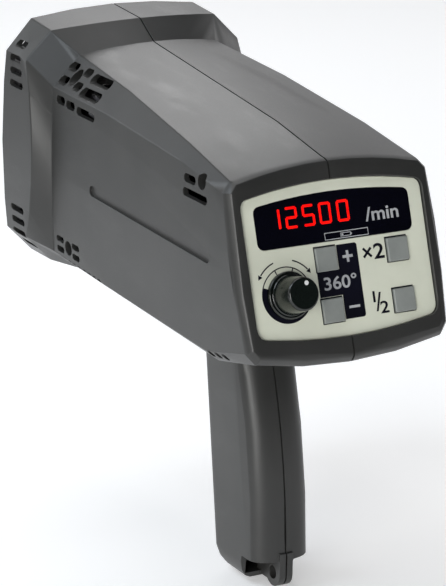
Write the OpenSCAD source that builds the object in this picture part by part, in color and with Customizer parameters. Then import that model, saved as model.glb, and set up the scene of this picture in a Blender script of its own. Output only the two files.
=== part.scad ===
// Hand-held xenon stroboscope: a flash barrel with a hood, a sloping control panel and a pistol grip.
// Millimetres. +Y is the way the lamp points, +X is the user's right, +Z is up.
// The origin is the mouth of the tripod bush on the barrel's underside.

/* [Barrel] */
// Half width of the barrel's side at its top and bottom edges
barrel_w = 50.8; // [48:0.1:54]
// Half width of the hood band at its edges
hood_w = 57.4; // [55:0.1:60]
// How far the hood's sides bow out at mid height
hood_bow = 2.4; // [0:0.1:3]
// Front of the hood, ahead of the tripod bush
rim_y = 85.5; // [82:0.5:90]
// Rear edge of the hood band
ridge_y = 63.5; // [60:0.5:66]
// Where the hood's slope meets the barrel
foot_y = 48.4; // [46:0.5:52]
// Wall of both case halves
wall = 2.6; // [2:0.1:3]

/* [Control panel] */
// Lean of the panel from upright, facing up at the user
panel_tilt = 18.5; // [14:0.5:22]
// Rim of the case beside the panel
panel_margin = 5.3; // [4.8:0.1:7]
// Side of a square key
key_side = 10.4; // [9:0.1:11]
// How far a key is pressed
key_travel = 0.5; // [0.3:0.1:0.5]
// Key column near the middle, across from the panel's centre line
key_mid_x = -6.7; // [-7.5:0.1:-6]
// Key column near the right edge, in from that edge
key_edge = 15.8; // [15:0.1:18]
// Lower key row, up the panel
key_low_v = 8.1; // [7.5:0.1:9]
// Upper key row, up the panel
key_high_v = 30.5; // [29.5:0.1:31]
// Middle of the knob, in from the panel's left edge
knob_edge = 17.6; // [17:0.1:18.5]
// Middle of the knob, up the panel
knob_v = 17.5; // [16.5:0.1:19]
// Radius of the knob's face
knob_r = 7.3; // [6.5:0.1:8]
// Height of the knob above the panel
knob_h = 14.8; // [12:0.1:17]

/* [Grip] */
// Half width of the grip
grip_w = 15; // [14:0.1:17]
// Bottom of the grip below the bush
grip_z = 118.5; // [112:0.5:122]
// Radius of the lanyard hole
lanyard_r = 3.2; // [2.5:0.1:3.4]

/* [Lamp] */
// Radius of the reflector's mouth
reflector_r = 45; // [40:0.5:46]
// Height of the lamp's axis above the bush
lamp_z = 59.4; // [57:0.1:61]
// Radius of the xenon tube's glass
tube_r = 2.5; // [2:0.1:3]

/* [Fastenings] */
// Radius of the case screws' threads
case_screw_r = 1.5; // [1.2:0.05:1.75]
// Radius of the board screws' threads
board_screw_r = 1.25; // [1:0.05:1.4]
// Radius of the tripod bush's threaded bore
bush_bore_r = 2.55; // [2.4:0.05:3]
// Length of the tripod bush
bush_len = 9; // [7:0.5:9.5]

/* [Hidden] */

charcoal = [0.30, 0.30, 0.29];
cream = [0.68, 0.69, 0.63];
grey_key = [0.52, 0.53, 0.52];
steel = [0.74, 0.75, 0.77];
board_green = [0.10, 0.32, 0.20];
black = [0.06, 0.06, 0.06];

$fn = 48;
// Clearances: a thread in its pilot, a bush in its pocket, a pin that turns, a piece that slides
thread_gap = 0.02;
seat_gap = 0.05;
turn_gap = 0.05;
key_gap = 0.35;
// What a cut runs past the surface that it opens
past = 1;
// Half the play between the case halves, and the seam groove's half width and depth
half_gap = 0.01;
seam_w = 0.4;
seam_d = 0.8;

panel_w = barrel_w - panel_margin;
key_x = [key_mid_x, panel_w - key_edge];
key_v = [key_low_v, key_high_v];
knob_at = [knob_edge - panel_w, knob_v];

// The panel frame: X across, Y up the panel, Z out toward the user
panel_y = -140;
panel_z = 21.5;
slope = tan(panel_tilt);
module at_panel(x = 0, v = 0, n = 0) {
    translate([0, panel_y, panel_z]) rotate([90 - panel_tilt, 0, 0]) translate([x, v, n]) children();
}
function on_panel(p, n) = [p[0], panel_y + p[1] * sin(panel_tilt) - n * cos(panel_tilt),
    panel_z + p[1] * cos(panel_tilt) + n * sin(panel_tilt)];

// Case section, right half from the crown down: [x, z] pairs.
// s = [edge half width, side bow, side bottom, side top, roof edge x, roof edge z, crown z,
//      floor edge x, floor edge z, floor z]
roof_n = 4;
side_n = 6;
function half_section(s) = concat(
    [for (i = [0:roof_n]) [s[4] * i / roof_n, s[6] - (s[6] - s[5]) * pow(i / roof_n, 2)]],
    [for (i = [0:side_n]) let (u = i / side_n) [s[0] + 4 * s[1] * u * (1 - u), s[3] + (s[2] - s[3]) * u]],
    [for (i = [0:2]) let (u = 1 - i / 2) [s[7] * u, s[9] + (s[8] - s[9]) * u * u]]);
function ring_points(s) = let (h = half_section(s), m = len(h))
    concat(h, [for (i = [m - 2:-1:1]) [-h[i][0], h[i][1]]]);
// The same section moved in by t
corner = tan(22.5);
function inset(s, t) = [s[0] - t, s[1], s[2] + corner * t, s[3] - corner * t, s[4] - corner * t, s[5] - t,
    s[6] - t, s[7] - corner * t, s[8] + t, s[9] + t];

hood_edge = hood_w - 13.2;
foot_edge = barrel_w - 14.5;
rim_s = [hood_w, hood_bow, 15.6, 103.2, hood_edge, 117.7, 120.9, hood_edge, 2.0, 1.2];
ridge_s = [hood_w, hood_bow, 15.6, 102.9, hood_edge + 0.1, 115.9, 119.2, hood_edge + 0.1, 2.4, 1.6];
foot_s = [barrel_w - 0.3, 1.6, 12.1, 92.5, foot_edge, 106.7, 110.6, foot_edge, 1.2, 0.5];
mid_s = [barrel_w - 0.1, 1.6, 9.9, 91.6, barrel_w - 10.5, 101.9, 105.7, barrel_w - 9.8, 2.1, 1.1];
tail_s = [barrel_w + 0.1, 1.6, 7.5, 87.2, barrel_w - 6.2, 93.5, 98.4, barrel_w - 4.8, 3.0, 1.8];
bezel_s = [barrel_w + 0.2, 1.4, -4.8, 64.8, barrel_w - 4, 69.6, 74.9, barrel_w - 4, -10.1, -15.1];

// The ridge and foot rings bulge toward the user: at mid height of the sides, and at the crown
ridge_creep = 11;
ridge_bow = 6.2;
foot_creep = 2;
foot_bow = 5.4;
mid_y = -12;
tail_y = -80;
function level_ring(s, y, creep = 0, bow = 0) = [for (p = ring_points(s)) let (u = (p[1] - s[2]) / (s[3] - s[2]))
    [p[0], y - (u > 0 && u < 1 ? 4 * creep * u * (1 - u) : 0)
        - (p[1] > s[5] - 0.01 ? bow * (1 - pow(p[0] / s[4], 2)) : 0), p[1]]];
function rim_ring(t, y) = level_ring(inset(rim_s, t), y);
function ridge_ring(t, dy) = level_ring(inset(ridge_s, t), ridge_y + dy, ridge_creep, ridge_bow);
function foot_ring(t, dy) = level_ring(inset(foot_s, t), foot_y + dy, foot_creep, foot_bow);
function mid_ring(t) = level_ring(inset(mid_s, t), mid_y);
function tail_ring(s) = [for (p = ring_points(s)) [p[0], tail_y + (p[1] - 82) * slope, p[1]]];
function bezel_ring(s, n) = [for (p = ring_points(s)) on_panel(p, n)];

// A closed skin over rings that all have the same number of points
module loft(rings) {
    m = len(rings[0]);
    k = len(rings);
    polyhedron(points = [for (r = rings) each r], faces = concat(
        [[for (i = [m - 1:-1:0]) i]],
        [for (j = [0:k - 2]) each [for (i = [0:m - 1]) let (a = j * m + i, b = j * m + (i + 1) % m)
            each [[a, b, a + m], [b, b + m, a + m]]]],
        [[for (i = [0:m - 1]) (k - 1) * m + i]]));
}
boundary_n = -2.9;
crest_n = 1.6;
module barrel_skin(t = 0) {
    loft([rim_ring(t, rim_y), ridge_ring(t, 0), foot_ring(t, 0), mid_ring(t),
        tail_ring(inset(tail_s, t)), bezel_ring(inset(bezel_s, t), boundary_n),
        bezel_ring(inset(bezel_s, t + 0.7), boundary_n + 1.8 - t * 0.3),
        bezel_ring(inset(bezel_s, t + 2.2), crest_n - 0.7 - t * 0.6),
        bezel_ring(inset(bezel_s, t + 4.2), crest_n - t)]);
}
rib_back_n = -4.6;
module barrel_hollow() {
    loft([rim_ring(wall, rim_y + past), ridge_ring(wall, 1), foot_ring(wall, 1), mid_ring(wall),
        tail_ring(inset(tail_s, wall)),
        bezel_ring(inset(bezel_s, wall), rib_back_n)]);
}

// Grip: level sections, front and back lines from the photograph
grip_front_y = -32;
grip_front_rake = 0.137;
grip_top_back_y = -70;
grip_sweep = 21.3;
function grip_front(z) = grip_front_y + grip_front_rake * z;
function grip_back(z) = grip_top_back_y + max(z, 0) * 0.4
    - grip_sweep * (1 - pow(max(0, 1 + min(z, 0) / 120), 2.3));
// Corner rounding: back strap depth and front depth
strap_d = 9.5;
nose_d = 8;
function bend(c, p) = (c < 0 ? -1 : 1) * pow(abs(c), p);
function strap_point(a, t) = [(grip_w - t) * bend(sin(a), 0.85), strap_d * (1 - bend(cos(a), 0.85)) + t];
function nose_point(a, t) = [(grip_w - t) * bend(cos(a), 0.7), -nose_d * (1 - bend(sin(a), 0.7)) - t];
function grip_ring(z, t) = let (b = grip_back(z), f = grip_front(z)) concat(
    [for (i = [0:6]) let (p = strap_point(15 * i, t)) [p[0], b + p[1], z]],
    [for (i = [0:6]) let (p = nose_point(15 * i, t)) [p[0], f + p[1], z]],
    [for (i = [5:-1:0]) let (p = nose_point(15 * i, t)) [-p[0], f + p[1], z]],
    [for (i = [6:-1:1]) let (p = strap_point(15 * i, t)) [-p[0], b + p[1], z]]);
module grip_skin(t = 0) {
    loft([for (q = [[8, -2.0], [3, -1.2], [-1, 0], [-10, 0], [-20, 0], [-32, 0], [-45, 0], [-60, 0], [-77, 0],
        [-94, 0], [9.5 - grip_z, 0], [4.5 - grip_z, 1.2], [1.4 - grip_z, 3.2]]) grip_ring(q[0], q[1] + t),
        grip_ring(t - grip_z, 6 + t)]);
}
grip_floor_z = 15.5 - grip_z;
module grip_hollow() {
    loft([for (z = [9, -1, -10, -20, -32, -45, -60, -77, grip_floor_z + 9, grip_floor_z])
        grip_ring(z, wall)]);
    // Well in the heel under the battery pack
    translate([-12, -76, wall - grip_z]) cube([24, 22, 15]);
}
// Lanyard fin at the grip's heel, one half on each case half
fin_w = 3.5;
fin_hole = [-85.3, 5.6 - grip_z];
fin_r = 6.7;
notch_top_z = 12.5 - grip_z;
notch_front_y = -75.5;
module side_extrude(x0, x1) {
    translate([x0, 0, 0]) rotate([90, 0, 90]) linear_extrude(x1 - x0) children();
}
module heel_notch() {
    side_extrude(-25, 25) polygon([[notch_front_y - 1, notch_top_z], [notch_front_y + 2.5, notch_top_z - 20],
        [-110, notch_top_z - 20], [-110, notch_top_z]]);
}
module fin() {
    side_extrude(-fin_w, fin_w) union() {
        translate(fin_hole) circle(fin_r);
        translate([fin_hole[0] - fin_r, fin_hole[1]]) square([fin_r, notch_top_z - fin_hole[1] + 4]);
        translate([fin_hole[0], 0.8 - grip_z])
            square([notch_front_y + 4 - fin_hole[0], notch_top_z + grip_z + 3]);
    }
}

// Case screws through the left side: [y, z, depth of the head's pocket from the middle]
case_screw_at = [[36.9, 98.7, 15], [31, 17.8, 15], [-98.6, 82.5, 15]];
screw_pocket_r = 3.5;
// Grip screws through the right side
grip_screw_at = [[-53, -56.5], [-60, 9 - grip_z]];
grip_pocket_r = 3;
grip_pocket_x = 7;
// Lamp frame screws: x and z from the lamp's axis
lamp_screw_x = hood_w - 10.4;
lamp_screw_at = [for (x = [-lamp_screw_x, lamp_screw_x], z = [-39, 39]) [x, z]];
boss_end_y = 74;
// Main board posts
post_x = barrel_w - 16.8;
post_at = [for (x = [-post_x, post_x], y = [-86, 16]) [x, y]];
post_r = 3.5;
main_board_z = 28;
board_t = 1.6;
board_top_z = main_board_z + board_t;
// Trigger pin, trigger slot and return spring
pin_at = [-37.5, -12];
pin_r = 1.5;
pin_len = 20;
slot_w = 6.5;
slot_low_z = -43;
slot_top_z = -7;
spring_at_y = -46.5;
spring_top_z = -1.2;
spring_low_z = -9.8;
// Microswitch pegs
peg_at = [[-52, -20], [-52, -32]];
peg_r = 1.1;
// Jacks on the right side
sync_at = [-62, 40];
charge_at = [-84, 40];
sync_bush_r = 4;
charge_bush_r = 5.5;
jack_wall_x = barrel_w - 0.8;
jack_recess_r = 7.5;
// Beyond the barrel's sides, where side cuts end
side_x = barrel_w + 20;

module rod_x(y, z, r, x0, x1) {
    translate([x0, y, z]) rotate([0, 90, 0]) cylinder(h = x1 - x0, r = r);
}
module rod_y(x, z, r, y0, y1) {
    translate([x, y0, z]) rotate([-90, 0, 0]) cylinder(h = y1 - y0, r = r);
}
// Everything that stands inside the case walls
module case_insides() {
    for (p = case_screw_at) rod_x(p[0], p[1], 5, -side_x, side_x);
    for (p = grip_screw_at) rod_x(p[0], p[1], 3.8, -grip_w, grip_w);
    for (p = lamp_screw_at) {
        rod_y(p[0], lamp_z + p[1], 4, 58, boss_end_y);
        translate([p[0] > 0 ? p[0] : p[0] - 12, 58, lamp_z + p[1] - 1.5]) cube([12, boss_end_y - 58, 3]);
    }
    cylinder(h = bush_len + 1.6, r = 8.5);
    for (p = post_at) translate([p[0], p[1], 0]) cylinder(h = main_board_z, r = post_r);
    translate([-14, spring_at_y - 4, spring_top_z + 0.2]) cube([28, 8, 2.8]);
    for (s = [-1, 1]) rod_x(pin_at[0], pin_at[1], 3.6, s > 0 ? 6.8 : -14, s > 0 ? 14 : -6.8);
    for (p = peg_at) rod_x(p[0], p[1], peg_r, -14, 14);
}
// A slot with round ends in the sides, cut straight across: middle y and z, length, height
module side_slot(y, z, l, h, x0) {
    for (s = [-1, 1]) side_extrude(s > 0 ? x0 : -side_x, s > 0 ? side_x : -x0) {
        translate([y - l / 2 + h / 2, z - h / 2]) square([l - h, h]);
        for (e = [-1, 1]) translate([y + e * (l - h) / 2, z]) circle(h / 2, $fn = 20);
    }
}
slot_pitch = 6;
// Where the slots' cuts start: in the hood, over the corner, through the side
hood_slot_x = hood_w - 11.4;
corner_slot_x = barrel_w - 20.8;
side_slot_x = barrel_w - 10.8;
top_slot_x = barrel_w - 6.8;
module vents() {
    for (i = [0:3]) {
        side_slot(76.1 - 1.5 * i, 107.4 - slot_pitch * i, 9.8 + 1.4 * i, 3.2, hood_slot_x);
        side_slot(71.3, 28 - slot_pitch * i, 13.6, 3.2, hood_slot_x);
    }
    for (q = [[44.6, 8], [30.4, 7]]) {
        side_slot(q[0], 101.9, q[1], 3.6, corner_slot_x);
        side_slot(q[0] - 0.5, 96.1, q[1], 3.6, corner_slot_x);
    }
    for (z = [100.9, 95.1]) side_slot(15.4, z, 18.5, 4.2, corner_slot_x);
    side_slot(39.6, 87.9, 9, 4, top_slot_x);
    side_slot(29.4, 87.6, 9, 4, top_slot_x);
    side_slot(13.6, 87, 18.5, 4, top_slot_x);
    for (y = [39.6, 23.2], z = [20.2, 15.2]) side_slot(y, z, 7.6, 3, side_slot_x);
    for (i = [0:6]) side_slot(30.8 - 5.2 * i, 10.6 - 0.1 * i, 3.6, 2.6, side_slot_x - 2);
    side_slot(-88.1, 81.2, 10.4, 3.8, side_slot_x);
    side_slot(-93.6, 75.0, 21.5, 3.8, side_slot_x);
    for (i = [0:2]) side_slot(-107 - 5.6 * i, 6.8 + 0.8 * i, 3.6, 3, side_slot_x + 2);
}
// Shallow long recess along each side, with round ends
recess_x = barrel_w + 0.1;
recess_r = 2.5;
recess_len = 110;
module side_recess() {
    for (s = [-1, 1]) side_extrude(s > 0 ? recess_x : -side_x, s > 0 ? side_x : -recess_x)
        translate([-106, 50.7]) rotate(1.1) {
            translate([0, -recess_r]) square([recess_len, 2 * recess_r]);
            for (x = [0, recess_len]) translate([x, 0]) circle(recess_r, $fn = 24);
        }
}
// A quarter of a rounded corner, from direction a, clockwise: middle, radii
function corner_arc(x, v, rx, rv, a) = [for (i = [0:4]) [x + rx * cos(a - 22.5 * i), v + rv * sin(a - 22.5 * i)]];
function mirrored(pts) = [for (i = [len(pts) - 1:-1:0]) [-pts[i][0], pts[i][1]]];
// Outline of the control panel grown by g, in the panel frame
function panel_corners(g) = concat(corner_arc(panel_w - 3.6, 56.3, 3.6 + g, 4.1 + g, 90),
    corner_arc(panel_w - 4.6, 4.8, 4.6 + g, 5 + g, 0));
function panel_outline(g) = concat(
    [for (i = [1:11]) let (u = i / 6 - 1) [u * (panel_w - 3.6), 60.4 + 4.1 * (1 - u * u) + g]], panel_corners(g),
    [for (i = [11:-1:1]) let (u = i / 6 - 1) [u * (panel_w - 4.6), -0.2 - 3.4 * (1 - u * u) - g]],
    mirrored(panel_corners(g)));
lip_n = -0.9;
flange_n = -2.5;
module panel_plate(g, n0, n1) {
    at_panel(0, 0, n0) linear_extrude(n1 - n0) polygon(panel_outline(g));
}
module case_cuts() {
    vents();
    side_recess();
    panel_plate(0.25, lip_n - 0.01, 8);
    panel_plate(1.7, flange_n - 0.1, lip_n);
    panel_plate(-2.2, rib_back_n - 1, flange_n - 0.09);
    for (p = case_screw_at) {
        rod_x(p[0], p[1], screw_pocket_r, -side_x, -p[2]);
        rod_x(p[0], p[1], case_screw_r + 0.15, -p[2] - 1, 0);
        rod_x(p[0], p[1], case_screw_r + thread_gap, 0, 14);
    }
    for (p = grip_screw_at) {
        rod_x(p[0], p[1], grip_pocket_r, grip_pocket_x, 30);
        rod_x(p[0], p[1], board_screw_r + 0.15, 0, grip_pocket_x + 1);
        rod_x(p[0], p[1], board_screw_r + thread_gap, -10, 0);
    }
    for (p = lamp_screw_at) rod_y(p[0], lamp_z + p[1], case_screw_r + thread_gap, 62, boss_end_y + 1);
    for (p = post_at) translate([p[0], p[1], main_board_z - 9])
        cylinder(h = 9 + past, r = board_screw_r + thread_gap);
    translate([0, 0, -1]) cylinder(h = bush_len + 1 + seat_gap, r = 5 + seat_gap);
    rod_x(pin_at[0], pin_at[1], pin_r + thread_gap, -pin_len / 2 - 0.1, pin_len / 2 + 0.1);
    translate([-slot_w, -44, slot_low_z]) cube([2 * slot_w, 30, slot_top_z - slot_low_z]);
    rod_x(fin_hole[0], fin_hole[1], lanyard_r, -10, 10);
    rod_x(sync_at[0], sync_at[1], sync_bush_r + 0.1, side_slot_x, side_x);
    rod_x(charge_at[0], charge_at[1], charge_bush_r + 0.1, side_slot_x, side_x);
    for (p = [sync_at, charge_at]) rod_x(p[0], p[1], jack_recess_r, jack_wall_x, side_x);
}
// Flat boss round the mouth of the tripod bush
mouth_r = 8;
mouth_h = 3;
module case_half(s) {
    color(charcoal) difference() {
        union() {
            difference() {
                union() {
                    barrel_skin();
                    grip_skin();
                    cylinder(h = mouth_h, r = mouth_r);
                }
                difference() {
                    union() {
                        barrel_hollow();
                        grip_hollow();
                    }
                    case_insides();
                }
                heel_notch();
            }
            fin();
        }
        case_cuts();
        difference() {
            translate([-seam_w, -170, -grip_z - 20]) cube([2 * seam_w, 280, 260]);
            barrel_skin(seam_d);
            grip_skin(seam_d);
            cylinder(h = mouth_h, r = mouth_r);
            side_extrude(-1, 1) translate([notch_front_y - 4.5, notch_top_z - 6]) square([20, 22]);
            side_extrude(-1, 1) translate(fin_hole) circle(fin_r - seam_d);
        }
        translate([s > 0 ? half_gap - 2 * side_x : -half_gap, -2 * grip_z, -2 * grip_z])
            cube([2 * side_x, 4 * grip_z, 4 * grip_z]);
    }
}
module left_case() { case_half(-1); }
module right_case() { case_half(1); }

// A cross-recess pan screw along +Z: thread below z = 0, head above
recess_slot = 0.7;
case_head_r = 2.9;
case_head_h = 2;
board_head_r = 2.4;
board_head_h = 1.7;
module screw(r, l, head_r, head_h) {
    difference() {
        union() {
            translate([0, 0, -l]) cylinder(h = l + 0.1, r = r);
            cylinder(h = head_h, r = head_r);
        }
        for (a = [0, 90]) rotate(a) translate([-head_r * 0.6, -recess_slot / 2, head_h * 0.45])
            cube([head_r * 1.2, recess_slot, head_h]);
    }
}
module case_screws() {
    color(steel) for (p = case_screw_at) translate([-p[2], p[0], p[1]]) rotate([0, -90, 0])
        screw(case_screw_r, p[2] + 12, case_head_r, case_head_h);
}
module grip_screws() {
    color(steel) for (p = grip_screw_at) translate([grip_pocket_x, p[0], p[1]]) rotate([0, 90, 0])
        screw(board_screw_r, grip_pocket_x + 8, board_head_r, board_head_h);
}
module tripod_insert() {
    color("gold") difference() {
        union() {
            cylinder(h = bush_len, r = 4.6);
            for (z = [0, bush_len - 3]) translate([0, 0, z]) cylinder(h = 3, r = 5);
        }
        translate([0, 0, -past]) cylinder(h = bush_len + 2 * past, r = bush_bore_r);
    }
}

// Lamp end, all on one axis along Y at lamp_z
lens_y = 76.6;
lens_t = 2.6;
frame_y = 75.6;
frame_t = 7;
lens_r = 49;
lens_seat = 3;
lens_screw_deep = 2.4;
module on_axis(y) {
    translate([0, y, lamp_z]) rotate([-90, 0, 0]) children();
}
module lens() {
    color([0.85, 0.92, 0.95, 0.4]) on_axis(lens_y) cylinder(h = lens_t, r = lens_r, $fn = 96);
}
module lens_gasket() {
    color(black) on_axis(frame_y) difference() {
        cylinder(h = lens_y - frame_y, r = lens_r, $fn = 96);
        translate([0, 0, -past]) cylinder(h = 4, r = lens_r - lens_seat, $fn = 96);
    }
}
module lens_frame() {
    color([0.16, 0.16, 0.16]) difference() {
        translate([0, frame_y + frame_t, 0]) rotate([90, 0, 0]) linear_extrude(frame_t)
            polygon(ring_points(inset(rim_s, wall + 0.9)));
        on_axis(frame_y - past)
            cylinder(h = lens_y + lens_t - frame_y + past + seat_gap, r = lens_r + 0.3, $fn = 96);
        on_axis(frame_y) cylinder(h = frame_t + past, r = lens_r - lens_seat, $fn = 96);
        for (p = lamp_screw_at) {
            rod_y(p[0], lamp_z + p[1], case_screw_r + 0.2, frame_y - past, frame_y + frame_t + past);
            rod_y(p[0], lamp_z + p[1], case_head_r + 0.3, frame_y + frame_t - lens_screw_deep,
                frame_y + frame_t + past);
        }
    }
}
module lens_screws() {
    color(steel) for (p = lamp_screw_at) translate([p[0], frame_y + frame_t - lens_screw_deep, lamp_z + p[1]])
        rotate([-90, 0, 0]) screw(case_screw_r, 15, case_head_r, case_head_h);
}
reflector_f = 14;
reflector_t = 1.4;
neck_r = 12.5;
neck_y = 24;
plate_w = hood_w - 5.4;
reflector_back = boss_end_y - (reflector_r * reflector_r) / (4 * reflector_f);
bowl_n = 12;
function bowl(i) = let (r = neck_r + (reflector_r - neck_r) * i / bowl_n)
    [r, r * r / (4 * reflector_f) + reflector_back];
module reflector() {
    color([0.88, 0.88, 0.9]) {
            on_axis(0) rotate_extrude($fn = 96) polygon(concat(
                [for (i = [0:bowl_n]) bowl(i)],
                [[reflector_r + 2, boss_end_y + 0.4], [reflector_r + 2, boss_end_y]],
                [for (i = [bowl_n - 1:-1:0]) bowl(i) + [reflector_t, -0.6]],
                [[neck_r + reflector_t, neck_y], [neck_r, neck_y]]));
            translate([0, frame_y, lamp_z]) rotate([90, 0, 0]) linear_extrude(frame_y - boss_end_y)
                difference() {
                    polygon([[plate_w, 30], [plate_w - 8, 44], [8 - plate_w, 44], [-plate_w, 30],
                        [-plate_w, -30], [8 - plate_w, -44], [plate_w - 8, -44], [plate_w, -30]]);
                    circle(reflector_r, $fn = 96);
                    for (p = lamp_screw_at) translate([p[0], -p[1]]) circle(case_screw_r + 0.2);
                }
    }
}
// U-shaped flash tube standing on its base
leg_x = 6;
leg_y0 = 30;
leg_y1 = 56;
tube_t = 0.8;
tube_end = 2;
lead_pin_r = 0.5;
module flash_tube() {
    color([0.9, 0.95, 1, 0.5]) difference() {
        tube_form(tube_r, leg_y0);
        tube_form(tube_r - tube_t, leg_y0 + tube_end);
        for (x = [-leg_x, leg_x])
            rod_y(x, lamp_z, lead_pin_r + thread_gap, leg_y0 - past, leg_y0 + tube_end + past);
    }
}
module tube_form(r, y0) {
    for (x = [-leg_x, leg_x]) rod_y(x, lamp_z, r, y0, leg_y1);
    translate([0, leg_y1, lamp_z]) rotate_extrude(angle = 180) translate([leg_x, 0]) circle(r);
}
module tube_electrodes() {
    color(steel) for (x = [-leg_x, leg_x]) {
        rod_y(x, lamp_z, lead_pin_r, leg_y0 - 8, leg_y0 + 9);
        rod_y(x, lamp_z, tube_r - tube_t - 0.5, leg_y0 + 7, leg_y0 + 11);
    }
}
band_pitch = 4;
module trigger_band() {
    color([0.7, 0.5, 0.3]) for (x = [-leg_x, leg_x]) {
        for (i = [0:3]) on_axis(leg_y0 + 12 + i * band_pitch) translate([x, 0, 0]) difference() {
            cylinder(h = 0.8, r = tube_r + 0.5, $fn = 32);
            translate([0, 0, -1]) cylinder(h = 3, r = tube_r + 0.02, $fn = 32);
        }
        translate([x - 0.3, leg_y0 + 6, lamp_z + tube_r + 0.05]) cube([0.6, 20, 0.45]);
    }
}
base_y = 22;
module lamp_base() {
    color([0.9, 0.88, 0.82]) difference() {
        on_axis(base_y + 2) cylinder(h = 12, r = neck_r - 0.3);
        for (x = [-leg_x, leg_x]) {
            rod_y(x, lamp_z, tube_r + 0.1, leg_y0 - 0.5, 60);
            rod_y(x, lamp_z, 0.6, 0, 60);
        }
    }
}
module lamp_socket() {
    color(black) difference() {
        on_axis(base_y - 12) cylinder(h = 14, r = neck_r + 3);
        for (x = [-leg_x, leg_x]) rod_y(x, lamp_z, 0.8, 0, 60);
        on_axis(base_y - 13) cylinder(h = 10, r = 9);
        on_axis(base_y + 0.5) difference() {
            cylinder(h = 3, r = neck_r + 5);
            translate([0, 0, -1]) cylinder(h = 6, r = neck_r - 1);
        }
    }
}

// A bent round wire: points, radius. The tube has six sides and one cap at each end
function unit(v) = v / norm(v);
function wire_frame(d) = let (u = unit(cross(d, abs(d[2]) > 0.9 ? [0, 1, 0] : [0, 0, 1])))
    [u, unit(cross(d, u))];
module wire(pts, r, sides = 6) {
    k = len(pts);
    dirs = [for (i = [0:k - 1]) unit(pts[min(i + 1, k - 1)] - pts[max(i - 1, 0)])];
    loft([for (i = [0:k - 1]) let (f = wire_frame(dirs[i])) [for (a = [0:sides - 1])
        pts[i] + r * (cos(-360 * a / sides) * f[0] + sin(-360 * a / sides) * f[1])]]);
}
function arc_pts(a, b, c, d, n) = [for (i = [0:n]) let (t = i / n, s = 1 - t)
    s * s * s * a + 3 * s * s * t * b + 3 * s * t * t * c + t * t * t * d];
module lamp_leads() {
    color("firebrick") for (x = [-leg_x, leg_x])
        wire(arc_pts([x, base_y - 9.2, lamp_z], [x, base_y - 26, lamp_z], [x * 1.3, 0, 50],
            [x * 1.3, -2, board_top_z + 0.2], 12), 0.9);
}

// Main board and what it carries
board_y = [-94, 24];
module main_board() {
    color(board_green) difference() {
        translate([-side_slot_x, board_y[0], main_board_z])
            cube([2 * side_slot_x, board_y[1] - board_y[0], board_t]);
        for (p = post_at) translate([p[0], p[1], main_board_z - 1]) cylinder(h = 4, r = board_screw_r + 0.15);
        translate([-8, -60, main_board_z - 1]) cube([16, 10, 4]);
    }
}
module board_screws() {
    color(steel) for (p = post_at) translate([p[0], p[1], board_top_z])
        screw(board_screw_r, board_t + 7, board_head_r, board_head_h);
}
cap_r = 10.5;
cap_len = 44;
cap_x = post_x - 8;
cap_y = -74;
solder_gap = 0.1;
module flash_capacitors() {
    color([0.12, 0.13, 0.2]) for (x = [-cap_x, cap_x]) {
        rod_y(x, board_top_z + cap_r + solder_gap, cap_r, cap_y, cap_y + cap_len);
        rod_y(x, board_top_z + cap_r + solder_gap, cap_r - 1.5, cap_y - 0.6, cap_y + cap_len + 0.6);
    }
}
// Two E-shaped core halves, with legs this wide, round the coil's former
core = [28, 16, 26];
core_leg = 4.5;
core_y = -82;
module transformer_core() {
    w = core[0] / 2;
    color([0.2, 0.2, 0.22]) for (s = [-1, 1]) translate([0, core_y, board_top_z + solder_gap]) difference() {
        translate([s > 0 ? 0.02 : -w, -core[1] / 2, 0]) cube([w - 0.02, core[1], core[2]]);
        translate([s > 0 ? 4 : core_leg - w, -core[1] / 2 - past, 5])
            cube([w - core_leg - 4, core[1] + 2 * past, core[2] - 10]);
    }
}
module transformer_coil() {
    color([0.75, 0.6, 0.2]) translate([0, core_y, board_top_z + solder_gap]) difference() {
        translate([-9, -12, 5.4]) cube([18, 24, core[2] - 10.8]);
        translate([-4.3, -core[1] / 2 - 0.3, 4]) cube([8.6, core[1] + 0.6, 18]);
    }
}
coil_r = 5.5;
coil_h = 15;
coil_cheek = 2;
module pulse_coil() {
    color([0.15, 0.2, 0.5]) translate([post_x - 10, 4, board_top_z + solder_gap]) {
        cylinder(h = coil_h, r = coil_r);
        for (z = [0, coil_h - coil_cheek]) translate([0, 0, z]) cylinder(h = coil_cheek, r = coil_r + 1.5);
    }
}
sink = [24, 26, 3];
fin_t = 2;
fin_pitch = 4.4;
module heat_sink() {
    color([0.25, 0.25, 0.26]) translate([-post_x - 4, -24, board_top_z + solder_gap]) {
        cube(sink);
        for (i = [0:5]) translate([i * fin_pitch, 0, sink[2]]) cube([fin_t, sink[1], 13]);
    }
}

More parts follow.
